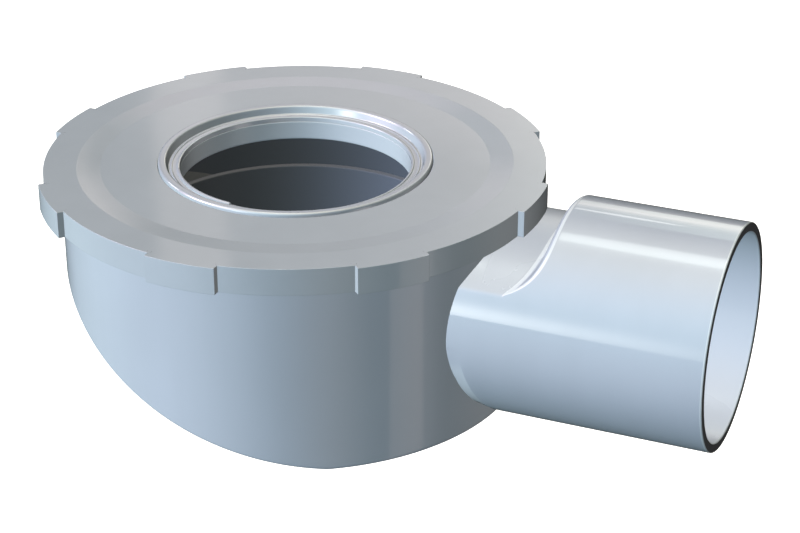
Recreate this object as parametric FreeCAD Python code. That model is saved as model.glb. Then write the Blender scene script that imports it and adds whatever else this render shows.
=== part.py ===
import FreeCAD
import Part

import math
import os

# Water trap of a linear shower drain: a round moulded housing with a DN 50 outlet spigot,
# a cover plate with eight lugs round its rim, the seal ring in the inlet and the gasket under the cover.
# The inlet axis is Z and the outlet runs along +X.
# The origin is the centre of the inlet bore's mouth. All sizes are in millimetres.

# Driving sizes of the whole trap
overall_height = 50.0        # cover's top face to the underside
rim_radius = 55.9            # cover's rim between its lugs
inlet_radius = 25.85         # bore for the tail of the shower channel's outlet
rim_above_mouth = 1.7        # cover's top face above the inlet bore's mouth

# Cover
rim_height = 6.0
lug_count = 8
lug_reach = 1.4              # how far the lugs stand out from the rim
lug_width = 15.75
skirt_wall = 3.45            # rim outside the housing's wall
thread_clearance = 0.25      # between the cover's skirt and the housing's wall
plate_thickness = 3.0
band_inset = 7.3             # shallow step in the top face, from the rim
band_width = 5.2
band_drop = 0.4
edge_round = 0.25            # along the rim's and the lugs' top and bottom
corner_round = 0.35          # up the lugs' corners

# Inlet collar under the cover, with the seat of the seal ring
collar_wall = 2.3
collar_below_mouth = 5.0
seat_below_mouth = 0.6
seat_wall = 2.2
seal_clearance = 0.05

# Seal ring
seal_width = 4.85            # from the inlet bore to the ring's outer wall
seal_above_top = 0.45
seal_land_width = 1.8
seal_groove_width = 2.5
seal_groove_below_top = 1.3
seal_round = 0.35

# Gasket between the cover and the housing
gasket_thickness = 1.0

# Housing
body_wall = 2.1
body_floor = 2.6
body_edge_round = 0.8        # round along the underside's edge
flat_width = 25.7            # flat underside on the outlet side, in from the wall
sweep_radius = 181.0         # radius of the rising curve beside it
sweep_start_slope = 8.5      # its slope in degrees where it begins

# Weir that holds the water seal
overflow_width = 10.8        # between the weir and the wall
weir_wall = 1.6
weir_below_top = 18.9

# Outlet spigot, DN 50, and the lowered neck that lets it pass under the rim
spigot_wall = 2.1
spigot_length = 37.7         # from the neck's step to the end face
neck_length = 8.1            # from the rim to the step up to the full spigot
neck_crown_widening = 13.0   # the crown's radius over the spigot's
neck_below_top = 6.1         # the crown's highest line
neck_foot_round = 2.4
neck_brow_round = 1.8
socket_margin = 0.7          # from the brow's round to the full round length that a socket takes
root_waist = 0.1             # how much slimmer the spigot is at its root

# Working allowances
past = 1.0                   # how far a cutting form runs past what it cuts
hair = 0.01                  # slack when an edge is found by where it lies

# Radii from the inlet axis
lug_radius = rim_radius + lug_reach
skirt_radius = rim_radius - skirt_wall
body_radius = skirt_radius - thread_clearance
band_outer_radius = rim_radius - band_inset
band_inner_radius = band_outer_radius - band_width
weir_radius = body_radius - body_wall - overflow_width - weir_wall
seal_radius = inlet_radius + seal_width
neck_step_radius = rim_radius + neck_length
spigot_end = neck_step_radius + spigot_length
sweep_start = body_radius - flat_width
socket_start = neck_step_radius + neck_brow_round + socket_margin

# The spigot is as deep as the whole trap
spigot_radius = overall_height / 2
neck_crown_radius = spigot_radius + neck_crown_widening
root_start = math.sqrt((body_radius - body_wall) ** 2 - spigot_radius ** 2)

# Heights
top_z = rim_above_mouth
underside_z = top_z - overall_height
plate_low_z = top_z - plate_thickness
rim_low_z = top_z - rim_height
wall_top_z = plate_low_z - gasket_thickness
spigot_z = underside_z + spigot_radius
neck_top_z = top_z - neck_below_top

z_axis = FreeCAD.Vector(0, 0, 1)
x_axis = FreeCAD.Vector(1, 0, 0)
y_axis = FreeCAD.Vector(0, 1, 0)


def cylinder(radius, low, high):
    """Upright cylinder on the inlet axis."""
    return Part.makeCylinder(radius, high - low, FreeCAD.Vector(0, 0, low), z_axis)


def ring(inner, outer, low, high):
    """Upright ring on the inlet axis."""
    return cylinder(outer, low, high).cut(cylinder(inner, low - past, high + past))


def rod(radius, start, end, height):
    """Cylinder along X at a height."""
    return Part.makeCylinder(radius, end - start, FreeCAD.Vector(start, 0, height), x_axis)


def point(radius, height):
    return FreeCAD.Vector(radius, 0, height)


def turned(edges):
    """Solid turned about the inlet axis from a closed outline of edges in the XZ plane."""
    return Part.Face(Part.Wire(edges)).revolve(FreeCAD.Vector(0, 0, 0), z_axis, 360)


def outline(corners):
    """Straight edges through the corners and back to the first."""
    closed = corners + corners[:1]
    return [Part.makeLine(start, end) for start, end in zip(closed[:-1], closed[1:])]


def above_underside(offset):
    """Block above the underside's flat and its rising curve, moved up by an offset."""
    slope = math.radians(sweep_start_slope)
    radius = sweep_radius - offset
    centre_x = sweep_start + sweep_radius * math.sin(slope)
    centre_z = underside_z + sweep_radius * math.cos(slope)
    flat_z = underside_z + offset
    flat_start = centre_x - math.sqrt(radius ** 2 - (centre_z - flat_z) ** 2)
    reach = body_radius + past
    far_z = centre_z - math.sqrt(radius ** 2 - (centre_x + reach) ** 2)
    middle_x = (flat_start - reach) / 2
    middle_z = centre_z - math.sqrt(radius ** 2 - (centre_x - middle_x) ** 2)
    curve = Part.Arc(point(-reach, far_z), point(middle_x, middle_z), point(flat_start, flat_z)).toShape()
    sides = [
        Part.makeLine(point(flat_start, flat_z), point(reach, flat_z)),
        Part.makeLine(point(reach, flat_z), point(reach, top_z)),
        Part.makeLine(point(reach, top_z), point(-reach, top_z)),
        Part.makeLine(point(-reach, top_z), point(-reach, far_z)),
    ]
    face = Part.Face(Part.Wire([curve] + sides))
    face.translate(FreeCAD.Vector(0, -reach, 0))
    return face.extrude(y_axis * (2 * reach))


def neck_pocket(offset):
    """What the neck leaves out of the spigot: the space above its crown, as far as the step."""
    crown = neck_crown_radius - offset
    centre_z = neck_top_z - neck_crown_radius
    half = spigot_radius + offset
    side_z = centre_z + math.sqrt(crown ** 2 - half ** 2)
    high_z = top_z + spigot_wall
    crown_line = Part.Arc(
        FreeCAD.Vector(0, -half, side_z),
        FreeCAD.Vector(0, 0, centre_z + crown),
        FreeCAD.Vector(0, half, side_z),
    ).toShape()
    sides = [
        Part.makeLine(FreeCAD.Vector(0, half, side_z), FreeCAD.Vector(0, half, high_z)),
        Part.makeLine(FreeCAD.Vector(0, half, high_z), FreeCAD.Vector(0, -half, high_z)),
        Part.makeLine(FreeCAD.Vector(0, -half, high_z), FreeCAD.Vector(0, -half, side_z)),
    ]
    reach = 2 * neck_step_radius
    space = Part.Face(Part.Wire([crown_line] + sides)).extrude(x_axis * reach)
    step = cylinder(neck_step_radius + offset, side_z - past, high_z + past)
    step.rotate(FreeCAD.Vector(0, 0, 0), z_axis, 180)
    space = space.common(step)
    foot = [edge for edge in space.Edges if lies_on_step(edge, offset) and edge.BoundBox.ZMax < high_z - hair]
    return space.makeFillet(neck_foot_round + offset, foot)


def lies_on_step(edge, offset):
    """Whether an edge runs round the neck's step."""
    samples = edge.discretize(5)
    gaps = [abs(math.hypot(sample.x, sample.y) - neck_step_radius - offset) for sample in samples]
    across = samples[0].distanceToPoint(samples[-1])
    return max(gaps) < hair and across > spigot_radius


def lies_on_root(edge):
    """Whether an edge lies on the spigot's root, away from its flat ends."""
    samples = edge.discretize(9)
    taper = root_waist / (socket_start - root_start)
    gaps = [
        abs(math.hypot(sample.y, sample.z - spigot_z) - spigot_radius + taper * (socket_start - sample.x))
        for sample in samples
    ]
    span = max(sample.x for sample in samples) - min(sample.x for sample in samples)
    return max(gaps) < hair and span > hair and edge.BoundBox.XMax < socket_start - hair


def spigot_outside():
    """Outer form of the spigot: a waisted root with the lowered neck, then the round length for the socket."""
    foot = FreeCAD.Vector(root_start, 0, spigot_z)
    length = socket_start - root_start
    root = Part.makeCone(spigot_radius - root_waist, spigot_radius, length, foot, x_axis)
    form = root.fuse(rod(spigot_radius, socket_start, spigot_end, spigot_z)).cut(neck_pocket(0)).Solids[0]
    brow = [edge for edge in form.Edges if lies_on_root(edge)]
    return form.makeFillet(neck_brow_round, brow)


def spigot_bore():
    """Water way of the spigot, which follows the neck at the wall's thickness."""
    start = weir_radius + weir_wall + past
    return rod(spigot_radius - spigot_wall, start, spigot_end + past, spigot_z).cut(neck_pocket(spigot_wall))


def body_outside():
    """Round body with its swept underside and a rounded lower edge."""
    form = cylinder(body_radius, underside_z, wall_top_z).common(above_underside(0)).Solids[0]
    lower = [edge for edge in form.Edges if runs_round_underside(edge)]
    return form.makeFillet(body_edge_round, lower)


def runs_round_underside(edge):
    """Whether an edge runs round the body's wall at its lower end."""
    samples = edge.discretize(5)
    gaps = [abs(math.hypot(sample.x, sample.y) - body_radius) for sample in samples]
    rise = max(sample.z for sample in samples) - min(sample.z for sample in samples)
    upright = samples[0].distanceToPoint(samples[-1]) < rise + hair
    return max(gaps) < hair and not upright and edge.BoundBox.ZMax < wall_top_z - hair


def make_trap_housing():
    """Body, weir and spigot, moulded in one piece."""
    chamber = cylinder(body_radius - body_wall, underside_z, wall_top_z + past).common(above_underside(body_floor))
    weir = ring(weir_radius, weir_radius + weir_wall, underside_z, top_z - weir_below_top)
    weir = weir.common(above_underside(body_floor / 2))
    housing = body_outside().fuse(spigot_outside()).cut(chamber).cut(spigot_bore()).fuse(weir)
    return housing.removeSplitter()


def make_cover_gasket():
    """Flat ring between the housing's wall and the cover."""
    return ring(body_radius - body_wall, body_radius, wall_top_z, plate_low_z)


def rim_with_lugs(inner):
    """Ring with the lugs round it, open inside the inner radius, with rounded corners and edges."""
    pitch = 2 * math.pi / lug_count
    tip = math.asin(lug_width / 2 / lug_radius)
    root = math.asin(lug_width / 2 / rim_radius)

    def corner(radius, angle):
        return FreeCAD.Vector(radius * math.cos(angle), radius * math.sin(angle), rim_low_z)

    edges = []
    for index in range(lug_count):
        middle = index * pitch
        following = middle + pitch
        edges += [
            Part.Arc(corner(lug_radius, middle - tip), corner(lug_radius, middle),
                     corner(lug_radius, middle + tip)).toShape(),
            Part.makeLine(corner(lug_radius, middle + tip), corner(rim_radius, middle + root)),
            Part.Arc(corner(rim_radius, middle + root), corner(rim_radius, middle + pitch / 2),
                     corner(rim_radius, following - root)).toShape(),
            Part.makeLine(corner(rim_radius, following - root), corner(lug_radius, following - tip)),
        ]
    block = Part.Face(Part.Wire(edges)).extrude(z_axis * rim_height)
    block = block.makeFillet(corner_round, [edge for edge in block.Edges if not is_level(edge)])
    block = block.makeFillet(edge_round, [edge for edge in block.Edges if is_level(edge)])
    return block.cut(cylinder(inner, rim_low_z - past, top_z + past))


def is_level(edge):
    """Whether an edge lies in one horizontal plane."""
    heights = [sample.z for sample in edge.discretize(5)]
    return max(heights) - min(heights) < hair


def make_cover():
    """Cover plate with its rim and lugs, the shallow step in its face and the inlet collar."""
    seat_radius = seal_radius + seal_clearance
    boss_radius = seat_radius + seat_wall
    collar_radius = inlet_radius + collar_wall
    joint_radius = (skirt_radius + rim_radius) / 2
    seat_z = -seat_below_mouth
    boss_z = seat_z - seat_wall
    collar_z = -collar_below_mouth
    plate = turned(outline([
        point(inlet_radius, collar_z),
        point(inlet_radius, seat_z),
        point(seat_radius, seat_z),
        point(seat_radius, top_z - band_drop),
        point(band_inner_radius, top_z - band_drop),
        point(band_outer_radius, top_z),
        point(joint_radius, top_z),
        point(joint_radius, rim_low_z),
        point(skirt_radius, rim_low_z),
        point(skirt_radius, plate_low_z),
        point(boss_radius, plate_low_z),
        point(boss_radius, boss_z),
        point(collar_radius, boss_z),
        point(collar_radius, collar_z),
    ]))
    return plate.fuse(rim_with_lugs(joint_radius)).removeSplitter()


def make_inlet_seal():
    """Seal ring with a flat land, a groove for the lip of the mating outlet and a rounded mouth."""
    high_z = top_z + seal_above_top
    groove_z = top_z - seal_groove_below_top
    land_radius = seal_radius - seal_land_width
    low_z = -seat_below_mouth
    form = turned(outline([
        point(inlet_radius, low_z),
        point(seal_radius, low_z),
        point(seal_radius, high_z),
        point(land_radius, high_z),
        point(inlet_radius + seal_groove_width, groove_z),
        point(inlet_radius, groove_z),
    ]))
    beads = [edge for edge in form.Edges if is_level(edge) and edge.BoundBox.ZMin > low_z + hair]
    return form.makeFillet(seal_round, beads)


pieces = {
    "trap_housing": make_trap_housing,
    "flange_cover": make_cover,
    "inlet_seal": make_inlet_seal,
    "cover_gasket": make_cover_gasket,
}

if __name__ == "__main__":
    os.makedirs("parts", exist_ok=True)
    for name, make in pieces.items():
        solid = make().Solids[0]
        solid.exportStep("parts/" + name + ".step")
        print(name, "volume", round(solid.Volume), "valid", solid.isValid())
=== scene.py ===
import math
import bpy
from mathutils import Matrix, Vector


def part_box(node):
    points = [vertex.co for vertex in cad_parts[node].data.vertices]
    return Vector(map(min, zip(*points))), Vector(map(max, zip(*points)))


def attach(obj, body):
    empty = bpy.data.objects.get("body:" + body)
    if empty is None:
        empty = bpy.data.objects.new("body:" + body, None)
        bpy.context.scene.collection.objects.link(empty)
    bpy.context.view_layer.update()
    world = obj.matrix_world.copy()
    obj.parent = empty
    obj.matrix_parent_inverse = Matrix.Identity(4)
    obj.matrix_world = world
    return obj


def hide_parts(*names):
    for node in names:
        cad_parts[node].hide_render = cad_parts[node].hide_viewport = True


bl_info = {
    "name": "Linear Drain Trap",
    "version": (1, 0, 0),
    "blender": (4, 5, 0),
    "location": "3D View > Sidebar > Drain Trap",
    "description": "Moulded water trap of a linear shower drain, dressed on its CAD frame",
    "category": "Add Mesh",
}

from collections import namedtuple

import bmesh
import bpy
import numpy as np
from bpy.props import FloatProperty, FloatVectorProperty, IntProperty, PointerProperty

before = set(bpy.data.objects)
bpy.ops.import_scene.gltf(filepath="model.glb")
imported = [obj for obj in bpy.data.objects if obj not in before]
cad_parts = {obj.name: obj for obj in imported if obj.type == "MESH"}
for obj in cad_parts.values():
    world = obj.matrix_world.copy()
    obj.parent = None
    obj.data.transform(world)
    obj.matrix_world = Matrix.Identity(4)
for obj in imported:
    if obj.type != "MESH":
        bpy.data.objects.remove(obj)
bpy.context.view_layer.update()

# Sizes read from the CAD nodes, in metres
HOUSING_LOW, HOUSING_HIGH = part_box("trap_housing")
COVER_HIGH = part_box("flange_cover")[1]
SEAL_LOW, SEAL_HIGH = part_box("inlet_seal")

MM = 0.001
MERGE = 0.002 * MM
SUPPORT = 0.12 * MM  # from a round to the row of points that keeps the next face flat
RIM_SUPPORT = 0.07 * MM  # the same on the cover's rim, whose rounds are finer
LEAD = 0.2 * MM  # straight piece of the spigot before and after its step
END_LEAD = 0.15 * MM  # the same before the spigot's end
# Rounds of the water way in the neck: along its crown, and the least at the brow of its step
WAY_EASE, WAY_BROW = 0.4 * MM, 0.3 * MM
SMOOTH_ANGLE = math.radians(28)
WEIR_ROUND = 0.25 * MM  # along the weir's top
WEIR_LIP = 3 * MM  # height of the weir's rounded top
LEAST_CURL = math.radians(4)
# Stretch of the waist round the spigot, from its top, and its soft ends, in degrees
WAIST_FROM, WAIST_TO, WAIST_SOFT = 92, 172, 22
BODY = "root"


def length(name, description, default):
    """A length property, in metres, given in millimetres."""
    return FloatProperty(name=name, description=description, default=default * MM, min=0.0,
                         precision=5, subtype="DISTANCE", unit="LENGTH")


def colour(name, description, default):
    return FloatVectorProperty(name=name, description=description, default=default,
                               size=3, min=0.0, max=1.0, subtype="COLOR")


def factor(name, description, default):
    return FloatProperty(name=name, description=description, default=default, min=0.0, max=1.0,
                         subtype="FACTOR")


class HousingSizes(bpy.types.PropertyGroup):
    body_radius: length("Body radius", "Outer wall of the round body", 52.2)
    body_wall: length("Body wall", "Thickness of the body's wall", 2.1)
    body_floor: length("Body floor", "Thickness of the floor", 2.6)
    body_top: length("Body top", "Depth of the wall's top under the cover's face", 4.0)
    edge_round: length("Lower edge round", "Round along the underside's edge", 0.8)
    sweep_start: length("Sweep start", "Where the underside starts to rise, from the inlet axis", 26.5)
    sweep_radius: length("Sweep radius", "Radius of the rising underside", 181.0)
    sweep_slope: FloatProperty(name="Sweep slope", description="Slope where the underside starts to rise",
                               default=math.radians(8.5), subtype="ANGLE")
    weir_radius: length("Weir radius", "Inner radius of the weir", 37.7)
    weir_wall: length("Weir wall", "Thickness of the weir", 1.6)
    weir_depth: length("Weir depth", "Weir's top under the cover's face", 18.9)


class SpigotSizes(bpy.types.PropertyGroup):
    radius: length("Spigot radius", "Outer radius of the outlet spigot", 25.0)
    wall: length("Spigot wall", "Thickness of the spigot's wall", 2.1)
    crown_radius: length("Crown radius", "Radius of the lowered neck's crown", 38.0)
    crown_depth: length("Crown depth", "Neck's highest line under the cover's face", 6.1)
    step_radius: length("Step radius", "Step up to the full spigot, round the inlet axis", 64.0)
    foot_round: length("Foot round", "Round at the foot of the step", 2.4)
    brow_round: length("Brow round", "Round at the brow of the step", 1.8)
    end_round: length("End round", "Round along the spigot's end", 0.3)
    root_length: length("Root length", "Length of the waist at the lower root", 3.0)
    root_depth: length("Root depth", "Depth of the waist at the lower root", 0.6)
    hook: length("Hook", "How far the step turns back at its foot", 3.0)
    bulge: length("Bulge", "How far the step swells out halfway down", 1.2)


class CoverSizes(bpy.types.PropertyGroup):
    lug_count: IntProperty(name="Lugs", description="Number of lugs round the rim", default=8, min=3)
    rim_radius: length("Rim radius", "Rim between the lugs", 55.9)
    rim_height: length("Rim height", "Height of the rim", 6.0)
    lug_width: length("Lug width", "Width of a lug", 15.75)
    plate: length("Plate", "Thickness of the plate", 3.0)
    skirt_radius: length("Skirt radius", "Inside of the skirt", 52.45)
    band_outer: length("Band outer radius", "Where the shallow step starts", 48.6)
    band_inner: length("Band inner radius", "Where the shallow step ends", 43.4)
    band_drop: length("Band drop", "Height of the shallow step", 0.4)
    edge_round: length("Edge round", "Round along the rim's edges", 0.07)
    corner_round: length("Corner round", "Round up the lugs' corners", 0.06)
    bore: length("Inlet bore", "Radius of the inlet bore", 25.85)
    collar_depth: length("Collar depth", "Collar's end under the bore's mouth", 5.0)
    collar_wall: length("Collar wall", "Thickness of the collar", 2.3)
    seat_radius: length("Seat radius", "Seat of the ring", 30.75)
    seat_depth: length("Seat depth", "Seat under the bore's mouth", 0.6)
    seat_wall: length("Seat wall", "Wall round the seat", 2.2)


class SealSizes(bpy.types.PropertyGroup):
    land_width: length("Land width", "Flat land on the ring", 1.8)
    groove_width: length("Groove width", "From the bore to the groove's outer wall", 2.5)
    groove_depth: length("Groove depth", "Groove under the cover's face", 1.3)
    bead: length("Bead", "Height of the fine beads in the groove", 0.22)
    bead_reach: length("Bead reach", "From a bead's crest to its foot", 0.3)
    inner_bead: length("Inner bead", "From the bore to the inner bead's crest", 0.45)
    outer_bead: length("Outer bead", "From the bore to the outer bead's crest", 1.85)
    lip_width: length("Lip width", "Width of the raised stretch of the inner edge", 0.8)
    lip_height: length("Lip height", "Height of the raised stretch", 0.45)
    lip_start: FloatProperty(name="Lip start", description="Where the raised stretch starts, in degrees",
                             default=-150)
    lip_end: FloatProperty(name="Lip end", description="Where it ends in a step, in degrees", default=-98)
    edge_round: length("Edge round", "Round along the ring's edges", 0.35)


class PlasticLook(bpy.types.PropertyGroup):
    housing: colour("Housing", "Colour of the housing's plastic", (0.478, 0.540, 0.662))
    cover: colour("Cover", "Colour of the cover's plastic", (0.465, 0.525, 0.62))
    seal: colour("Seal", "Colour of the seal ring", (0.51, 0.562, 0.68))
    gasket: colour("Gasket", "Colour of the gasket", (0.05, 0.055, 0.06))
    # Painted shade: dark colours inside the body, lighter towards the outlet side
    inside: colour("Inside", "Colour inside the body, on the outlet side", (0.124, 0.149, 0.210))
    painted_shade_back: colour("Inside back", "Colour inside the body, away from the outlet", (0.077, 0.081, 0.092))
    # Painted highlight: pale colour of the highlight lines along the neck's step, its root and before the
    # spigot's end
    edge: colour("Edges", "Paler colour along the neck's step and the sawn end", (0.78, 0.86, 0.95))
    # Painted light: paler colour down the spigot's bore
    bore: colour("Bore", "Colour down the spigot's bore", (0.57, 0.64, 0.76))
    # Painted shade: near-black colour of the spigot's end face
    painted_end_shade: colour("Cut end", "Colour of the spigot's sawn end", (0.012, 0.013, 0.014))
    roughness: factor("Roughness", "Roughness of the moulded plastic", 0.06)
    ior: FloatProperty(name="IOR", description="How strongly the plastic mirrors", default=2.2, min=1.0)
    seal_ior: FloatProperty(name="Seal IOR", description="How strongly the seal ring mirrors", default=3.0,
                            min=1.0)


class StageSettings(bpy.types.PropertyGroup):
    camera_place: FloatVectorProperty(name="Camera", description="Place of the camera", size=3,
                                      default=(0.18994, -0.40562, 0.19841), subtype="XYZ", unit="LENGTH")
    camera_turn: FloatVectorProperty(name="Camera turn", description="Rotation of the camera", size=3,
                                     default=(1.106517, -0.000973, 0.386386), subtype="EULER")
    lens: FloatProperty(name="Lens", description="Focal length in millimetres", default=98.369)
    sensor: FloatProperty(name="Sensor", description="Width of the sensor in millimetres", default=36.0)
    floor: colour("Floor", "Colour of the floor", (0.93, 0.94, 0.95))
    floor_reach: FloatProperty(name="Floor reach", description="From the middle of the floor to its sides",
                               default=6.0, subtype="DISTANCE", unit="LENGTH")


# Mesh helpers


def finish_mesh(name, mesh, material):
    """Object with smooth faces, sharp where they meet at an angle."""
    mesh.materials.clear()
    mesh.materials.append(material)
    mesh.polygons.foreach_set("use_smooth", [True] * len(mesh.polygons))
    mesh.set_sharp_from_angle(angle=SMOOTH_ANGLE)
    piece = bpy.data.objects.new(name, mesh)
    bpy.context.scene.collection.objects.link(piece)
    return piece


def grid_mesh(name, rows, wrap_rows=False, wrap_columns=True, caps=False):
    """Mesh of quads through rows of points. Caps close the first and the last row."""
    rows = np.asarray(rows, float)
    count, width = rows.shape[:2]
    faces = []
    for i in range(count if wrap_rows else count - 1):
        for j in range(width if wrap_columns else width - 1):
            a, b = i * width + j, i * width + (j + 1) % width
            step = ((i + 1) % count - i) * width
            faces.append((a, b, b + step, a + step))
    points = [tuple(p) for p in rows.reshape(-1, 3)]
    if caps:
        faces.append(tuple(range(width - 1, -1, -1)))
        faces.append(tuple(range((count - 1) * width, count * width)))
    mesh = bpy.data.meshes.new(name)
    mesh.from_pydata(points, [], faces)
    tidy_mesh(mesh)
    return mesh


def tidy_mesh(mesh):
    """Merges doubles, clears spare corners in the middle of an edge and turns the faces outwards."""
    work = bmesh.new()
    work.from_mesh(mesh)
    bmesh.ops.remove_doubles(work, verts=work.verts, dist=MERGE)
    bmesh.ops.dissolve_degenerate(work, edges=work.edges, dist=MERGE / 4)
    bmesh.ops.dissolve_verts(work, verts=[corner for corner in work.verts if len(corner.link_edges) == 2])
    bmesh.ops.recalc_face_normals(work, faces=work.faces)
    work.to_mesh(mesh)
    work.free()


def light_freely(piece):
    """Lets the studio's light pass the piece, so that every face is lit as in the reference."""
    piece.visible_diffuse = piece.visible_glossy = piece.visible_shadow = False


def seat(piece, node):
    """The piece stands for a CAD node."""
    light_freely(piece)
    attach(piece, BODY)
    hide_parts(node)


def eased(corners, closed=True, segments=5, support=SUPPORT):
    """Outline through corners (x, y, round), each round one an arc with a support point on both sides."""
    most, room = 0.48, 0.49  # share of a side that a round may take, without and with its support point
    points = []
    total = len(corners)
    for i, (x, y, size) in enumerate(corners):
        here = np.array((x, y))
        if size <= 0 or (not closed and i in (0, total - 1)):
            points.append(here)
            continue
        before = np.array(corners[i - 1][:2]) - here
        after = np.array(corners[(i + 1) % total][:2]) - here
        reach_before, reach_after = np.linalg.norm(before), np.linalg.norm(after)
        before, after = before / reach_before, after / reach_after
        bend = math.acos(max(-1.0, min(1.0, float(before @ after))))
        tangent = min(size / math.tan(bend / 2), most * min(reach_before, reach_after))
        size = tangent * math.tan(bend / 2)
        middle = before + after
        centre = here + middle / np.linalg.norm(middle) * size / math.sin(bend / 2)
        start, end = here + before * tangent - centre, here + after * tangent - centre
        sweep = math.pi - bend
        if tangent + support < room * reach_before:
            points.append(here + before * (tangent + support))
        for k in range(segments + 1):
            t = k / segments
            a = math.sin((1 - t) * sweep) / math.sin(sweep)
            b = math.sin(t * sweep) / math.sin(sweep)
            points.append(centre + a * start + b * end)
        if tangent + support < room * reach_after:
            points.append(here + after * (tangent + support))
    return np.array(points)


def circle(columns):
    """Points of a circle of radius 1 round the inlet axis."""
    angles = np.linspace(0, 2 * math.pi, columns, endpoint=False)
    return np.stack([np.cos(angles), np.sin(angles)], 1)


def turned(profile, columns):
    """Rows of points of a profile of (radius, height) turned round the inlet axis."""
    ring = circle(columns)
    return [np.column_stack([ring * r, np.full(columns, z)]) for r, z in profile]


def join(first, second, operation):
    """First mesh after a Boolean operation with the second. Both are used up."""
    a = bpy.data.objects.new("first", first)
    b = bpy.data.objects.new("second", second)
    for o in (a, b):
        bpy.context.scene.collection.objects.link(o)
    cut = a.modifiers.new("cut", "BOOLEAN")
    cut.operation, cut.object, cut.solver = operation, b, "EXACT"
    result = plain_mesh(a)
    bpy.data.objects.remove(a)
    bpy.data.objects.remove(b)
    return result


def plain_mesh(obj):
    """The evaluated object as a plain mesh of its own."""
    bpy.context.view_layer.update()
    graph = bpy.context.evaluated_depsgraph_get()
    return bpy.data.meshes.new_from_object(obj.evaluated_get(graph), depsgraph=graph)


# Shader maths


class Val:
    """A socket of a node tree, or a number, that can be used in sums."""

    def __init__(self, tree, socket):
        self.tree, self.socket = tree, socket

    def node(self, kind, settings=None, **inputs):
        """New node of a type, with its settings, then the values or links of its inputs."""
        made = self.tree.nodes.new(kind)
        for key, value in (settings or {}).items():
            setattr(made, key, value)
        for key, value in inputs.items():
            place = int(key[1:]) if key[0] == "i" and key[1:].isdigit() else key.replace("_", " ")
            put(self.tree, made.inputs[place], value)
        return made

    def maths(self, operation, *values):
        made = self.node("ShaderNodeMath", {"operation": operation})
        for slot, value in zip(made.inputs, (self,) + values):
            put(self.tree, slot, value)
        return Val(self.tree, made.outputs[0])

    def __add__(self, other):
        return self.maths("ADD", other)

    def __sub__(self, other):
        return self.maths("SUBTRACT", other)

    def __mul__(self, other):
        return self.maths("MULTIPLY", other)

    def __truediv__(self, other):
        return self.maths("DIVIDE", other)

    def __pow__(self, other):
        return self.maths("POWER", other)

    def between(self, low, high):
        """0 below low, 1 above high and smooth between. The other way round where low is the larger."""
        made = self.node("ShaderNodeMapRange", {"interpolation_type": "SMOOTHSTEP"},
                         Value=self, From_Min=low, From_Max=high)
        return Val(self.tree, made.outputs["Result"])


def put(tree, socket, value):
    """Links a value to a socket, or sets the number or colour on it."""
    if isinstance(value, Val):
        tree.links.new(value.socket, socket)
    elif isinstance(value, bpy.types.NodeSocket):
        tree.links.new(value, socket)
    elif socket.type == "RGBA":
        socket.default_value = (*value, 1.0)
    else:
        socket.default_value = value


def tinted(value, shade_a, shade_b, amount):
    """Mix of two colours by an amount."""
    made = value.node("ShaderNodeMix", {"data_type": "RGBA"}, i0=amount, i6=shade_a, i7=shade_b)
    return Val(value.tree, made.outputs[2])


Parts = namedtuple("Parts", "material place shader output")


def new_material(name):
    """Empty material, with its object coordinates, its shader and its output."""
    material = bpy.data.materials.new(name)
    material.use_nodes = True
    tree = material.node_tree
    tree.nodes.clear()
    start = Val(tree, None)
    place = Val(tree, start.node("ShaderNodeTexCoord").outputs["Object"])
    shader = start.node("ShaderNodeBsdfPrincipled")
    output = start.node("ShaderNodeOutputMaterial", Surface=shader.outputs[0])
    return Parts(material, place, shader, output)


def feed(parts, **values):
    """Gives inputs of a material's shader their values or links."""
    for key, value in values.items():
        put(parts.place.tree, parts.shader.inputs[key.replace("_", " ")], value)


def noise(place, scale, detail=2.0, rough=0.5):
    made = place.node("ShaderNodeTexNoise", Vector=place, Scale=scale, Detail=detail, Roughness=rough)
    return Val(place.tree, made.outputs["Fac"])


def scaled_shade(shade, amount):
    return tuple(min(1.0, c * amount) for c in shade)


def stretched(place, scale):
    made = place.node("ShaderNodeMapping", Vector=place, Scale=scale)
    return Val(place.tree, made.outputs[0])


def distance(place, across, up, centre_up=0.0):
    """Distance in a plane of the object: the two named axes, about a point on the second."""
    a, b = along(place, across), along(place, up) - centre_up
    return (a * a + b * b) ** 0.5


def along(place, axis):
    return Val(place.tree, place.node("ShaderNodeSeparateXYZ", Vector=place).outputs[axis])


def zone(*edges):
    """Mask that is 1 inside all soft edges, each a value and the two ends of its edge."""
    masks = [value.between(*ends) for value, ends in edges]
    return math.prod(masks[1:], start=masks[0])


# How far the plastic's tone strays, the flow marks' share of it, and what raises its roughness
TONE_LOW, TONE_HIGH, FLOW_SHARE = 0.965, 1.03, 0.35
SLOW_ROUGH, MARK_ROUGH, LEAST_ROUGH = 0.03, 0.05, 0.02
SLOW_SPREAD, FLOW_SPREAD, MARK_SPREAD = (0.3, 0.7), (0.25, 0.75), (0.52, 0.78)
SKIN_STRENGTH, SKIN_DEPTH = 0.05, 0.02 * MM
FLOW_DRAWN = (1, 1, 0.04)  # the housing's flow marks run upwards
SEAL_ROUGH = 0.8  # the seal's share of the plastic's roughness
# The gasket's darkest and palest tone as shares of its colour, its roughness and its grain
GASKET_LOW, GASKET_HIGH = 0.8, 1.3
GASKET_ROUGH, GASKET_ROUGH_SPREAD = 0.55, 0.1
GRAIN_STRENGTH, GRAIN_DEPTH = 0.3, 0.03 * MM

# Scales of the noise in the plastics, in waves per metre
TONE_SCALE = 28.0
FLOW_SCALE = 170.0
MARK_SCALE = 120.0
SKIN_SCALE = 2600.0
GASKET_SCALE = 1500.0
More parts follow.
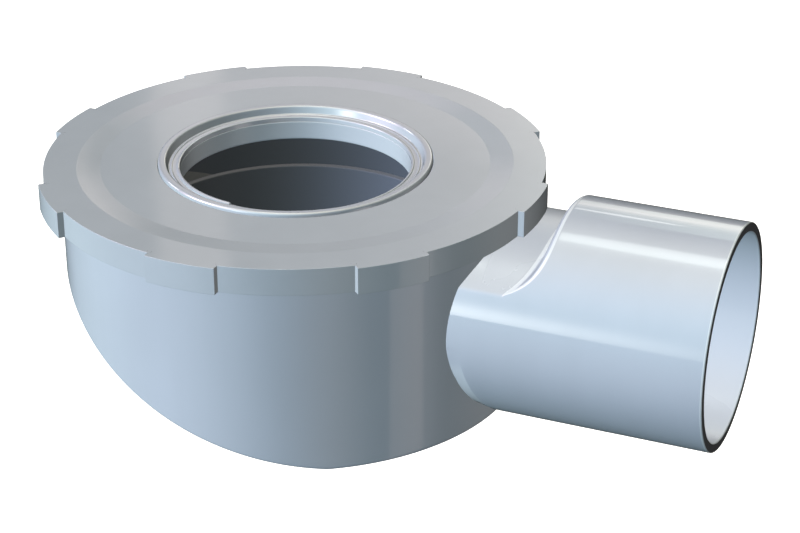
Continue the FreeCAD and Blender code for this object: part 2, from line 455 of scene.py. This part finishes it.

# Soft edges round the housing's painted highlights, painted shade, painted light and duller faces, each with
# its two ends in metres: from the inlet's or the spigot's axis, along X from the inlet axis, or up from the
# mouth of the inlet bore. A tilt is how far a face looks back along X.
STEP_TILT_LOW, STEP_TILT_HIGH = (0.07, 0.14), (0.55, 0.42)
STEP_BACK, STEP_FRONT, STEP_LOW = (56 * MM, 58 * MM), (72 * MM, 70 * MM), (-14 * MM, -12.5 * MM)
ROOT_TILT_LOW, ROOT_TILT_HIGH = (0.05, 0.15), (0.45, 0.35)
ROOT_BACK, ROOT_FRONT, ROOT_HIGH = (20 * MM, 26 * MM), (54 * MM, 52 * MM), (-26 * MM, -30 * MM)
NECK_BACK, NECK_CROWN = (50 * MM, 52 * MM), (24.9 * MM, 24.5 * MM)
BODY_INSIDE, BODY_TOP, BEHIND_WEIR = (51 * MM, 50.4 * MM), (-4.3 * MM, -5.2 * MM), (44 * MM, 47 * MM)
INSIDE_SHADE_FADE = (-28 * MM, 24 * MM)
BORE_INSIDE, BORE_BACK, BORE_INWARD = (23.3 * MM, 23 * MM), (50.5 * MM, 53 * MM), (0, -2 * MM)
HIGHLIGHT_NEAR_END, SHADED_END_FACE = (-0.55 * MM, -0.35 * MM), (-0.06 * MM, -0.02 * MM)
INLET_BORE = (26.1 * MM, 25.95 * MM)

# How strongly each finish shows: the painted highlights, the duller faces, the painted light down the inlet
# bore and the painted shade behind the weir
STEP_HIGHLIGHT, ROOT_HIGHLIGHT, END_HIGHLIGHT = 0.9, 0.35, 0.8
NECK_ROUGH, INLET_ROUGH, INLET_PAINTED_LIGHT = 0.22, 0.25, 1.1
BORE_DULL, DULL_ROUGHNESS, DULL_IOR = 0.7, 0.35, 1.3
BEHIND_SHADE = 0.18
BLACK = (0, 0, 0)


def moulded_plastic(name, shade, roughness, ior, drawn=(1, 1, 1)):
    """Glossy moulded plastic: slow tone changes, flow marks, a skin of very fine grain and light handling
    marks. Gives the parts of the material, its tone and its roughness."""
    parts = new_material(name)
    place = parts.place
    slow = noise(place, TONE_SCALE, 3.0).between(*SLOW_SPREAD)
    flow = noise(stretched(place, drawn), FLOW_SCALE, 4.0).between(*FLOW_SPREAD)
    low, high = scaled_shade(shade, TONE_LOW), scaled_shade(shade, TONE_HIGH)
    tone = tinted(place, low, high, slow * (1 - FLOW_SHARE) + flow * FLOW_SHARE)
    marks = noise(place, MARK_SCALE, 5.0, 0.65).between(*MARK_SPREAD)
    rough = slow * SLOW_ROUGH + marks * MARK_ROUGH + (roughness - LEAST_ROUGH)
    skin = noise(place, SKIN_SCALE) * 0.5 + slow * 0.5
    bump = place.node("ShaderNodeBump", Strength=SKIN_STRENGTH, Distance=SKIN_DEPTH, Height=skin)
    feed(parts, Base_Color=tone, Roughness=rough, IOR=ior, Normal=bump.outputs[0])
    return parts, tone, rough


def housing_plastic(look):
    """Housing's plastic: painted highlight lines along the neck's step, its root and before the spigot's
    end; duller on the neck; dull inside the body, with painted shade that is darkest away from the outlet
    and behind the weir; paler down the spigot's bore as painted light; painted shade, near black, on the
    spigot's sawn end."""
    parts, tone, rough = moulded_plastic("housing_plastic", look.housing, look.roughness, look.ior,
                                         drawn=FLOW_DRAWN)
    place = parts.place
    x, z = along(place, "X"), along(place, "Z")
    from_end = x - HOUSING_HIGH.x
    axis_z = (HOUSING_LOW.z + COVER_HIGH.z) / 2
    from_inlet = distance(place, "X", "Y")
    from_spigot = distance(place, "Y", "Z", axis_z)
    normal = Val(place.tree, place.node("ShaderNodeNewGeometry").outputs["Normal"])
    tilt = along(normal, "X") * -1.0

    # Painted highlights: paler lines along both rounds of the step, at the root under the spigot and before
    # the sawn end, where these rounds would catch the light
    step = zone((tilt, STEP_TILT_LOW), (tilt, STEP_TILT_HIGH), (z, STEP_LOW), (x, STEP_BACK),
                (x, STEP_FRONT))
    root = zone((tilt, ROOT_TILT_LOW), (tilt, ROOT_TILT_HIGH), (z, ROOT_HIGH), (x, ROOT_BACK),
                (x, ROOT_FRONT))
    for mask in (step * STEP_HIGHLIGHT, root * ROOT_HIGHLIGHT, from_end.between(*HIGHLIGHT_NEAR_END) * END_HIGHLIGHT):
        tone = tinted(place, tone, look.edge, mask)
    neck = zone((from_spigot, NECK_CROWN), (x, NECK_BACK))
    feed(parts, Base_Color=tone, Roughness=rough + neck * NECK_ROUGH)

    # Dull faces: inside the body, with painted shade that is darker away from the outlet and darker still
    # behind the weir; down the spigot's bore, paler as painted light; and on its sawn end, painted near
    # black as shade
    inside = zone((from_inlet, BODY_INSIDE), (z, BODY_TOP))
    outward = along(normal, "Y") * along(place, "Y") + along(normal, "Z") * (z - axis_z)
    bore = zone((from_spigot, BORE_INSIDE), (x, BORE_BACK), (outward, BORE_INWARD))
    # Painted shade: the spigot's end face is painted near black
    sawn = from_end.between(*SHADED_END_FACE)
    # Painted shade inside the body: darker away from the outlet, and darker still behind the weir
    dark = tinted(place, look.painted_shade_back, look.inside, x.between(*INSIDE_SHADE_FADE))
    dark = tinted(place, dark, BLACK, from_inlet.between(*BEHIND_WEIR) * BEHIND_SHADE)
    # Painted light: the spigot's bore is paler
    dark = tinted(place, dark, look.bore, bore)
    dull = place.node("ShaderNodeBsdfPrincipled", Roughness=DULL_ROUGHNESS, IOR=DULL_IOR,
                      Base_Color=tinted(place, dark, look.painted_end_shade, sawn))
    amount = inside.maths("MAXIMUM", bore * BORE_DULL).maths("MAXIMUM", sawn)
    mixed = place.node("ShaderNodeMixShader", Fac=amount, i1=parts.shader.outputs[0], i2=dull.outputs[0])
    put(place.tree, parts.output.inputs["Surface"], mixed.outputs[0])
    return parts.material


def cover_plastic(look):
    """Cover's plastic: duller down the inlet bore, and a little paler there as painted light."""
    parts, tone, rough = moulded_plastic("cover_plastic", look.cover, look.roughness, look.ior)
    bore = distance(parts.place, "X", "Y").between(*INLET_BORE)
    # Painted light: a little paler down the inlet bore
    feed(parts, Base_Color=tinted(parts.place, tone, scaled_shade(look.cover, INLET_PAINTED_LIGHT), bore),
         Roughness=rough + bore * INLET_ROUGH)
    return parts.material


def seal_rubber(look):
    """Seal ring's rubber, glossier than the plastic."""
    return moulded_plastic("seal_rubber", look.seal, look.roughness * SEAL_ROUGH, look.seal_ior)[0].material


def gasket_rubber(look):
    """Dark rubber with a fine mould grain."""
    parts = new_material("gasket_rubber")
    fine = noise(parts.place, GASKET_SCALE, 3.0)
    bump = parts.place.node("ShaderNodeBump", Strength=GRAIN_STRENGTH, Distance=GRAIN_DEPTH, Height=fine)
    low, high = scaled_shade(look.gasket, GASKET_LOW), scaled_shade(look.gasket, GASKET_HIGH)
    feed(parts, Base_Color=tinted(parts.place, low, high, fine),
         Roughness=fine * GASKET_ROUGH_SPREAD + GASKET_ROUGH, Normal=bump.outputs[0])
    return parts.material


# Housing


def underside(x, sizes, offset=0.0):
    """Height of the underside at x: flat on the outlet side, then rising on one circle. The offset gives the
    floor inside."""
    x = np.asarray(x)
    low = HOUSING_LOW.z + offset
    radius = sizes.sweep_radius - offset
    centre_x = sizes.sweep_start + sizes.sweep_radius * math.sin(sizes.sweep_slope)
    centre_z = HOUSING_LOW.z + sizes.sweep_radius * math.cos(sizes.sweep_slope)
    curve = centre_z - np.sqrt(radius ** 2 - (centre_x - x) ** 2)
    rising = curve > low if offset else x < sizes.sweep_start
    return np.where(rising, curve, low)


def body_form(sizes, radius, top, floor=0.0, edge=0.0, columns=384):
    """Closed round form above the underside, or above the inner floor."""
    ring = circle(columns)
    inner, hub = radius - edge, 0.02 * radius
    rows = []
    for r in (*np.linspace(hub, inner - 5 * SUPPORT, 40), inner - SUPPORT):
        rows.append(np.column_stack([ring * r, underside(ring[:, 0] * r, sizes, floor)]))
    foot = ring * inner
    low = underside(foot[:, 0], sizes, floor)
    if edge:
        # Round from the sloping underside up to the wall
        nudge = 1e-3
        ahead = underside(foot[:, 0] * (1 + nudge), sizes, floor)
        slope = np.arctan2(ahead - low, inner * nudge)
        low = low + edge / np.cos(slope)
        for t in np.linspace(0, 1, 7):
            turn = -np.pi / 2 + slope + t * (np.pi / 2 - slope)
            reach = inner + edge * np.cos(turn)
            rows.append(np.column_stack([ring * reach[:, None], low + edge * np.sin(turn)]))
    else:
        rows.append(np.column_stack([foot, low]))
    for t in (0.01, 0.2, 0.4, 0.6, 0.8, 1.0):
        rows.append(np.column_stack([ring * radius, low + (top - low) * t]))
    return grid_mesh("body", rows, caps=True)


def crown_reach(angles, pipe, crown, centre, ease):
    """Distance from the spigot's axis to its necked section, whose crown meets the pipe in a small round."""
    across, up = np.sin(angles), np.cos(angles)
    arch = centre * up + np.sqrt(crown ** 2 - (centre * across) ** 2)
    reach = np.minimum(pipe, arch)
    # The small round's centre lies where the two circles, both smaller by its radius, cross
    a, b = pipe - ease, crown - ease
    centre_up = (a ** 2 - b ** 2 + centre ** 2) / (2 * centre)
    centre_across = math.sqrt(a ** 2 - centre_up ** 2)
    on_pipe = math.atan2(centre_across, centre_up)
    toward_round = np.array((centre_across, centre_up - centre)) / b
    on_crown = math.atan2(crown * toward_round[0], centre + crown * toward_round[1])
    inside = (np.abs(angles) > on_crown) & (np.abs(angles) < on_pipe)
    level = np.abs(across) * centre_across + up * centre_up
    apart = np.maximum(ease ** 2 - (a ** 2 - level ** 2), 0)
    return np.where(inside, level + np.sqrt(apart), reach)


def spigot_form(sizes, body_radius, start, end, inset=0.0, flare=0.0, columns=480):
    """Closed spigot with its lowered neck. The inset makes the water way inside it."""
    axis_z = HOUSING_LOW.z + sizes.radius
    pipe = sizes.radius - inset
    centre = COVER_HIGH.z - sizes.crown_depth - sizes.crown_radius - axis_z
    foot, brow = sizes.foot_round + inset, max(sizes.brow_round - inset, WAY_BROW)
    ease = WAY_EASE if inset else sizes.brow_round
    angles = np.linspace(-math.pi, math.pi, columns, endpoint=False)
    low = crown_reach(angles, pipe, sizes.crown_radius - inset, centre, ease)
    rows = []

    def row(x, reach):
        x = np.broadcast_to(x, angles.shape)
        rows.append(np.column_stack([x, reach * np.sin(angles), axis_z + reach * np.cos(angles)]))

    # The step's line in plan: a circle round the inlet axis, swollen halfway and turned back at its foot
    rise = pipe - low
    share = rise / rise.max()
    middle = low + rise * 0.5
    step = np.sqrt((sizes.step_radius + inset) ** 2 - (middle * np.sin(angles)) ** 2)
    step = step + sizes.bulge * 4 * share * (1 - share) - sizes.hook * (1 - share) ** 4

    # How far the foot's hollow round and the brow's full round turn, and how much of them a low step keeps
    both = foot + brow
    curl = np.arccos(np.clip(1 - rise / both, 0, math.cos(LEAST_CURL)))
    fit = np.minimum(rise / (both * (1 - np.cos(curl))), 1)
    bend_start = step - foot * np.sin(curl)
    root = start
    if not inset:
        # Waist round the lower flanks at the root
        flank = np.abs(np.degrees(angles))
        waist = np.clip((flank - WAIST_FROM) / WAIST_SOFT, 0, 1) * sizes.root_depth
        waist = waist * np.clip((WAIST_TO - flank) / WAIST_SOFT, 0, 1)
        joint = np.sqrt(body_radius ** 2 - (pipe * np.sin(angles)) ** 2)
        root = joint + sizes.root_length
        for t in (0, 0.5):
            row(start + (joint - start) * t, low - waist)
        for t in (0, 0.5, 0.97):
            row(joint + sizes.root_length * t, low - waist * (1 - t))
    for t in np.linspace(0, 1, 10)[:-1]:
        row(root + (bend_start - LEAD - root) * t, low)
    row(bend_start - LEAD, low)
    for t in np.linspace(0, 1, 10):
        row(bend_start + foot * np.sin(t * curl), low + fit * foot * (1 - np.cos(t * curl)))
    wall_low = low + fit * foot * (1 - np.cos(curl))
    wall_high = pipe - fit * brow * (1 - np.cos(curl))
    for t in (0.33, 0.66):
        row(step, wall_low + (wall_high - wall_low) * t)
    for t in np.linspace(1, 0, 10):
        row(step + brow * (np.sin(curl) - np.sin(t * curl)), pipe - fit * brow * (1 - np.cos(t * curl)))
    settle, last = step + brow * np.sin(curl) + LEAD, end - abs(flare) - END_LEAD
    for t in np.linspace(0, 1, 14):
        row(settle + (last - settle) * t, pipe)
    for t in np.linspace(0, math.pi / 2, 5):
        row(end + abs(flare) * (math.sin(t) - 1), pipe - flare * (1 - math.cos(t)))
    if inset:
        row(end + MM, pipe - flare)
    return grid_mesh("spigot", rows, caps=True)


def weir_form(sizes, columns=360):
    """Weir ring, its foot in the floor."""
    inner, outer = sizes.weir_radius, sizes.weir_radius + sizes.weir_wall
    top = COVER_HIGH.z - sizes.weir_depth
    below = top - WEIR_LIP
    lip = eased([(inner, below, 0), (inner, top, WEIR_ROUND), (outer, top, WEIR_ROUND), (outer, below, 0)],
                closed=False)
    rows = turned(lip, columns)
    feet = [np.column_stack([circle(columns) * r, np.zeros(columns)]) for r in (inner, outer)]
    for foot in feet:
        foot[:, 2] = underside(foot[:, 0], sizes, sizes.body_floor / 2)
    return grid_mesh("weir", [feet[0], *rows, feet[1]], wrap_rows=True)


class DRAIN_OT_housing(bpy.types.Operator):
    """Round body, weir and outlet spigot in one moulding"""
    bl_idname = "drain_trap.housing"
    bl_label = "Housing"

    def execute(self, context):
        sizes, pipe = context.scene.trap_housing, context.scene.trap_spigot
        top = COVER_HIGH.z - sizes.body_top
        end = HOUSING_HIGH.x
        body = body_form(sizes, sizes.body_radius, top, edge=sizes.edge_round)
        inner_radius = sizes.body_radius - sizes.body_wall
        start = math.sqrt(inner_radius ** 2 - pipe.radius ** 2)
        outside = join(body, spigot_form(pipe, sizes.body_radius, start, end, flare=pipe.end_round), "UNION")
        chamber = body_form(sizes, inner_radius, top + MM, floor=sizes.body_floor)
        way_start = sizes.weir_radius + sizes.weir_wall + MM
        way = spigot_form(pipe, sizes.body_radius, way_start, end, inset=pipe.wall, flare=-pipe.end_round)
        hollow = join(outside, chamber, "DIFFERENCE")
        hollow = join(hollow, way, "DIFFERENCE")
        whole = join(hollow, weir_form(sizes), "UNION")
        tidy_mesh(whole)
        piece = finish_mesh("housing", whole, housing_plastic(context.scene.trap_look))
        seat(piece, "trap_housing")
        return {"FINISHED"}


# Cover


def lug_outline(sizes):
    """Outline of one share of the rim, with its lug in the middle: points and their outward directions."""
    half = math.pi / sizes.lug_count
    rim, tip_radius, side = sizes.rim_radius, COVER_HIGH.x, sizes.lug_width / 2
    root, tip = math.asin(side / rim), math.asin(side / tip_radius)

    def on(radius, angle, size=0.0):
        return (radius * math.cos(angle), radius * math.sin(angle), size)

    corners = [on(rim, a) for a in np.linspace(-half, -root, 14)[:-1]]
    corners += [on(rim, -root, sizes.corner_round), on(tip_radius, -tip, sizes.corner_round)]
    corners += [on(tip_radius, a) for a in np.linspace(-tip, tip, 15)[1:-1]]
    corners += [on(tip_radius, tip, sizes.corner_round), on(rim, root, sizes.corner_round)]
    corners += [on(rim, a) for a in np.linspace(root, half, 14)[1:]]
    points = eased(corners, closed=False, segments=4)
    ahead = np.gradient(points, axis=0)
    ahead[0] = (math.sin(half), math.cos(half))
    ahead[-1] = (-math.sin(half), math.cos(half))
    outward = np.column_stack([ahead[:, 1], -ahead[:, 0]])
    return points, outward / np.linalg.norm(outward, axis=1)[:, None]


def cover_share(sizes):
    """One share of the cover, from its lug in to the inlet bore, as a mesh open at both ends."""
    points, outward = lug_outline(sizes)
    half = math.pi / sizes.lug_count
    walk = np.concatenate([[0], np.cumsum(np.linalg.norm(np.diff(points, axis=0), axis=1))])
    followed = -half + 2 * half * walk / walk[-1]
    even = np.linspace(-half, half, len(points))
    top, low = COVER_HIGH.z, COVER_HIGH.z - sizes.rim_height
    plate_low = top - sizes.plate
    size, lead = sizes.edge_round, 0.1 * MM
    quarter = [(1 - math.sin(t), 1 - math.cos(t)) for t in np.linspace(0, math.pi / 2, 5)]
    rim = [(size * a, low + size * b) for a, b in quarter]
    rim += [(0, low + size + lead), (0, top - size - lead)]
    rim += [(size * b, top - size * a) for a, b in quarter]
    rim.append((size + RIM_SUPPORT, top))
    rows = [np.column_stack([points - outward * inset, np.full(len(points), z)]) for inset, z in rim]

    def ring(radius, z, angles):
        height = np.full(len(angles), z)
        rows.append(np.column_stack([radius * np.cos(angles), radius * np.sin(angles), height]))

    rim_inside = sizes.rim_radius - MM
    ring(rim_inside, top, followed)
    face = top - sizes.band_drop
    seat_z, collar_z = -sizes.seat_depth, -sizes.collar_depth
    boss_z = seat_z - sizes.seat_wall
    small, wide = 0.2 * MM, 0.4 * MM
    profile = eased([
        (sizes.band_outer + 2 * MM, top, 0),
        (sizes.band_outer, top, wide),
        (sizes.band_inner, face, wide),
        (sizes.seat_radius, face, small),
        (sizes.seat_radius, seat_z, 0),
        (sizes.bore, seat_z, small),
        (sizes.bore, collar_z, wide),
        (sizes.bore + sizes.collar_wall, collar_z, wide),
        (sizes.bore + sizes.collar_wall, boss_z, small),
        (sizes.seat_radius + sizes.seat_wall, boss_z, small),
        (sizes.seat_radius + sizes.seat_wall, plate_low, small),
        (sizes.skirt_radius, plate_low, small),
        (sizes.skirt_radius, low + wide, 0),
        (sizes.skirt_radius + wide, low, 0),
    ], closed=False, segments=4)
    for radius, z in profile:
        ring(radius, z, even)
    ring(rim_inside, low, followed)
    return grid_mesh("share", rows, wrap_rows=True, wrap_columns=False)


def repeat_round_tree():
    """Geometry Nodes that repeat a mesh round the inlet axis and merge the shares."""
    tree = bpy.data.node_groups.new("repeat_round", "GeometryNodeTree")
    face = tree.interface
    face.new_socket("Share", in_out="INPUT", socket_type="NodeSocketGeometry")
    face.new_socket("Count", in_out="INPUT", socket_type="NodeSocketInt")
    face.new_socket("Merge", in_out="INPUT", socket_type="NodeSocketFloat")
    face.new_socket("Material", in_out="INPUT", socket_type="NodeSocketMaterial")
    face.new_socket("Cover", in_out="OUTPUT", socket_type="NodeSocketGeometry")
    start = Val(tree, None)
    given = start.node("NodeGroupInput").outputs
    points = start.node("GeometryNodePoints", Count=given["Count"])
    index = Val(tree, start.node("GeometryNodeInputIndex").outputs[0])
    turn = index * (2 * math.pi) / Val(tree, given["Count"])
    spin = start.node("ShaderNodeCombineXYZ", Z=turn)
    shares = start.node("GeometryNodeInstanceOnPoints", Points=points.outputs[0], Instance=given["Share"],
                        Rotation=spin.outputs[0])
    real = start.node("GeometryNodeRealizeInstances", Geometry=shares.outputs[0])
    merged = start.node("GeometryNodeMergeByDistance", Geometry=real.outputs[0], Distance=given["Merge"])
    dressed = start.node("GeometryNodeSetMaterial", Geometry=merged.outputs[0], Material=given["Material"])
    start.node("NodeGroupOutput", Cover=dressed.outputs[0])
    return tree


class DRAIN_OT_cover(bpy.types.Operator):
    """Cover plate with the lugs round its rim and the inlet collar"""
    bl_idname = "drain_trap.cover"
    bl_label = "Cover"

    def execute(self, context):
        sizes = context.scene.trap_cover
        plastic = cover_plastic(context.scene.trap_look)
        share = bpy.data.objects.new("share", cover_share(sizes))
        context.scene.collection.objects.link(share)
        tree = repeat_round_tree()
        repeat = share.modifiers.new("repeat", "NODES")
        repeat.node_group = tree
        names = {item.name: item.identifier for item in tree.interface.items_tree if item.in_out == "INPUT"}
        repeat[names["Count"]] = sizes.lug_count
        repeat[names["Merge"]] = MERGE
        repeat[names["Material"]] = plastic
        whole = plain_mesh(share)
        bpy.data.objects.remove(share)
        tidy_mesh(whole)
        piece = finish_mesh("cover", whole, plastic)
        seat(piece, "flange_cover")
        return {"FINISHED"}


# Seal ring and gasket


class DRAIN_OT_seal(bpy.types.Operator):
    """Seal ring in the inlet, with its land, groove and fine beads"""
    bl_idname = "drain_trap.seal"
    bl_label = "Seal ring"

    def execute(self, context):
        sizes, cover = context.scene.trap_seal, context.scene.trap_cover
        outer, high, low = SEAL_HIGH.x, SEAL_HIGH.z, SEAL_LOW.z
        bore = cover.bore
        land = outer - sizes.land_width
        groove = COVER_HIGH.z - sizes.groove_depth
        size, corner = sizes.edge_round, 0.1 * MM
        crest = size * 1.6
        bead, reach = sizes.bead, sizes.bead_reach
        inner_bead, outer_bead = bore + sizes.inner_bead, bore + sizes.outer_bead
        profile = eased([
            (bore, low, corner),
            (outer, low, corner),
            (outer, high, crest),
            (land, high, crest),
            (bore + sizes.groove_width, groove, size),
            (outer_bead + reach, groove, bead),
            (outer_bead, groove + bead, bead),
            (outer_bead - reach, groove, bead),
            (inner_bead + reach, groove, bead),
            (inner_bead, groove + bead, bead),
            (bore, groove + bead * 0.6, bead),
        ], segments=6, support=SUPPORT / 2)
        rows = turned(profile, 720)
        self.raise_lip(rows, profile, groove, sizes)
        ring = grid_mesh("seal", rows, wrap_rows=True)
        piece = finish_mesh("seal_ring", ring, seal_rubber(context.scene.trap_look))
        seat(piece, "inlet_seal")
        return {"FINISHED"}

    @staticmethod
    def raise_lip(rows, profile, groove, sizes):
        """Lifts the shelf's inner edge over a short stretch that ends in a step."""
        inner, shelf = profile[:, 0].min(), groove - 0.05 * MM
        first, last = math.radians(sizes.lip_start), math.radians(sizes.lip_end)
        for row, (radius, z) in zip(rows, profile):
            if radius > inner + sizes.lip_width or z < shelf:
                continue
            angles = np.arctan2(row[:, 1], row[:, 0])
            share = np.clip((angles - first) / (last - first), 0, 1)
            lifted = np.where(angles < last, np.sqrt(share), 0)
            row[:, 2] += lifted * sizes.lip_height


class DRAIN_OT_gasket(bpy.types.Operator):
    """Finish of the gasket under the cover"""
    bl_idname = "drain_trap.gasket"
    bl_label = "Gasket"

    def execute(self, context):
        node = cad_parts["cover_gasket"]
        node.data.materials.clear()
        node.data.materials.append(gasket_rubber(context.scene.trap_look))
        light_freely(node)
        return {"FINISHED"}


# Stage


# Soft glows of the studio: azimuth and elevation in degrees, sharpness and colour
GLOWS = {
    "left wall": (-180, -25, 10, (0.50, 0.70, 0.62)),
    "front left wall": (-120, -25, 10, (0.58, 0.68, 0.74)),
    "front": (-50, -25, 40, (0.21, 0.14, 0.08)),
    "outlet side": (-6, -25, 90, (0.36, 0.32, 0.32)),
    "far outlet side": (42, -25, 18, (0.38, 0.38, 0.39)),
    "front panel": (-110, 30, 8, (0.85, 1.25, 1.32)),
    "window": (-150, 30, 30, (3.90, 2.60, 3.20)),
    "back panel": (100, 20, 150, (1.20, 1.00, 0.86)),
    "ceiling": (0, 90, 10, (1.50, 1.36, 0.95)),
    "ceiling lamp": (142, 75, 250, (1.00, 1.15, 1.12)),
}
# The glow that stands on the horizon, and the horizon's soft edge as heights
HORIZON_GLOW = (-112, 5, 200, (2.60, 2.62, 2.45))
HORIZON_EDGE = (-0.006, 0.012)
# Round lamps with a clear edge: azimuth, elevation and radius in degrees, and colour
LAMPS = {
    "ceiling spot": (137, 74, 6.0, (0.80, 0.84, 0.82)),
    "left spot": (170, 24, 7.0, (4.00, 4.00, 4.00)),
    "left near spot": (-152, 20, 14.0, (2.20, 2.20, 2.20)),
    "back spot": (107, 33, 1.6, (1.40, 1.40, 1.35)),
}
LAMP_EDGE = (1.15, 0.85)  # ends of a lamp's soft edge, in shares of its radius
# Upright strip lights: azimuth and half width in degrees, softness of the edges, lower and upper end as
# heights, and colour
STRIPS = {
    "back rod": (118.1, 0.9, 0.3, 0.30, 0.70, (0.34, 0.30, 0.28)),
    "back screen": (102, 4.4, 0.9, 0.20, 0.70, (0.85, 1.00, 0.90)),
    "back ledge": (111, 7.6, 0.15, 0.34, 0.395, (0.30, 0.26, 0.25)),
    "back rail": (117.5, 4.0, 0.5, 0.47, 0.54, (0.55, 0.42, 0.43)),
    "low screen": (-11, 8.0, 0.12, -0.80, -0.20, (0.20, 0.17, 0.16)),
}
STRIP_FRONT = (0.0, 0.3)  # soft edge that keeps a strip on its own side
STRIP_END = 0.02  # half the soft edge at a strip's ends
FLOOR_GAP = 0.02 * MM  # from the underside down to the floor
FLOOR_GLOW, FLOOR_TONE, FLOOR_SCALE = 0.85, 0.99, 1.5
NEAR, FAR = 0.01, 20.0  # what the camera sees, in metres


def toward(azimuth, elevation=0.0):
    """Direction of an azimuth and an elevation in degrees."""
    azimuth, elevation = math.radians(azimuth), math.radians(elevation)
    level = math.cos(elevation)
    return (level * math.cos(azimuth), level * math.sin(azimuth), math.sin(elevation))


def facing(direction, aim):
    """Cosine of the angle between a direction and an aim."""
    made = direction.node("ShaderNodeVectorMath", {"operation": "DOT_PRODUCT"}, i0=direction, i1=aim)
    return Val(direction.tree, made.outputs["Value"])


def lit(shade, strength):
    """Colour times a strength."""
    made = strength.node("ShaderNodeVectorMath", {"operation": "SCALE"}, i0=shade, Scale=strength)
    return made.outputs[0]


def glow(direction, azimuth, elevation, sharpness, shade):
    """Colour of one soft glow of the surroundings."""
    return lit(shade, (facing(direction, toward(azimuth, elevation)) * 0.5 + 0.5) ** sharpness)


def lamp(direction, azimuth, elevation, radius, shade):
    """Colour of one round lamp of the surroundings."""
    edge = [math.cos(math.radians(radius * share)) for share in LAMP_EDGE]
    return lit(shade, facing(direction, toward(azimuth, elevation)).between(*edge))


def strip(direction, height, azimuth, half_width, soft, low, high, shade):
    """Colour of one upright strip light of the surroundings."""
    off = facing(direction, toward(azimuth + 90)).maths("ABSOLUTE")
    reach = math.sin(math.radians(half_width))
    return lit(shade, zone(
        (off, (reach * (1 + soft), reach * (1 - soft))),
        (facing(direction, toward(azimuth)), STRIP_FRONT),
        (height, (low - STRIP_END, low + STRIP_END)),
        (height, (high + STRIP_END, high - STRIP_END)),
    ))


def surroundings(world):
    """Soft studio: bright from the left and the front, dark on the outlet side, white to the camera."""
    world.use_nodes = True
    tree = world.node_tree
    tree.nodes.clear()
    start = Val(tree, None)
    direction = Val(tree, start.node("ShaderNodeTexCoord").outputs["Generated"])
    height = along(direction, "Z")
    total = lit(glow(direction, *HORIZON_GLOW), height.between(*HORIZON_EDGE))
    lights = [glow(direction, *settings) for settings in GLOWS.values()]
    lights += [lamp(direction, *settings) for settings in LAMPS.values()]
    lights += [strip(direction, height, *settings) for settings in STRIPS.values()]
    for light in lights:
        total = start.node("ShaderNodeVectorMath", {"operation": "ADD"}, i0=total, i1=light).outputs[0]
    studio = start.node("ShaderNodeBackground", Color=total, Strength=1.0)
    plain = start.node("ShaderNodeBackground", Color=(1.0, 1.0, 1.0), Strength=1.0)
    seen = start.node("ShaderNodeLightPath").outputs["Is Camera Ray"]
    mixed = start.node("ShaderNodeMixShader", Fac=seen, i1=studio.outputs[0], i2=plain.outputs[0])
    start.node("ShaderNodeOutputWorld", Surface=mixed.outputs[0])


def pale_floor(settings):
    """Plain floor whose own glow keeps it pale."""
    parts = new_material("pale_floor")
    tone = tinted(parts.place, scaled_shade(settings.floor, FLOOR_TONE), settings.floor,
                  noise(parts.place, FLOOR_SCALE))
    feed(parts, Roughness=1.0, Specular_IOR_Level=0.0, Emission_Strength=FLOOR_GLOW,
         Emission_Color=settings.floor, Base_Color=tone)
    mesh = bpy.data.meshes.new("floor")
    reach, z = settings.floor_reach, HOUSING_LOW.z - FLOOR_GAP
    corners = [(-reach, -reach, z), (reach, -reach, z), (reach, reach, z), (-reach, reach, z)]
    mesh.from_pydata(corners, [], [(0, 1, 2, 3)])
    floor = finish_mesh("floor", mesh, parts.material)
    floor.visible_glossy = floor.visible_diffuse = False


class DRAIN_OT_stage(bpy.types.Operator):
    """Pale floor, soft lights and the camera"""
    bl_idname = "drain_trap.stage"
    bl_label = "Stage"

    def execute(self, context):
        scene = context.scene
        settings = scene.trap_stage
        data = bpy.data.cameras.new("camera")
        data.lens, data.sensor_width = settings.lens, settings.sensor
        data.clip_start, data.clip_end = NEAR, FAR
        camera = bpy.data.objects.new("camera", data)
        camera.location = settings.camera_place
        camera.rotation_euler = settings.camera_turn
        scene.collection.objects.link(camera)
        scene.camera = camera
        scene.world = scene.world or bpy.data.worlds.new("surroundings")
        surroundings(scene.world)
        pale_floor(settings)
        scene.view_settings.view_transform = "Standard"
        return {"FINISHED"}


class DRAIN_PT_panel(bpy.types.Panel):
    """Lists the pieces of the trap"""
    bl_label = "Drain Trap"
    bl_idname = "DRAIN_PT_panel"
    bl_space_type = "VIEW_3D"
    bl_region_type = "UI"
    bl_category = "Drain Trap"

    def draw(self, context):
        for operator in PIECES:
            self.layout.operator(operator.bl_idname)


PIECES = (DRAIN_OT_stage, DRAIN_OT_housing, DRAIN_OT_cover, DRAIN_OT_seal, DRAIN_OT_gasket)
GROUPS = {
    "trap_housing": HousingSizes,
    "trap_spigot": SpigotSizes,
    "trap_cover": CoverSizes,
    "trap_seal": SealSizes,
    "trap_look": PlasticLook,
    "trap_stage": StageSettings,
}


def register():
    for kind in (*GROUPS.values(), *PIECES, DRAIN_PT_panel):
        bpy.utils.register_class(kind)
    for name, kind in GROUPS.items():
        setattr(bpy.types.Scene, name, PointerProperty(type=kind))


def unregister():
    for name in GROUPS:
        delattr(bpy.types.Scene, name)
    for kind in (DRAIN_PT_panel, *reversed(PIECES), *reversed(GROUPS.values())):
        bpy.utils.unregister_class(kind)


def main():
    register()
    bpy.ops.drain_trap.stage()
    bpy.ops.drain_trap.housing()
    bpy.ops.drain_trap.cover()
    bpy.ops.drain_trap.seal()
    bpy.ops.drain_trap.gasket()


if __name__ == "__main__":
    main()
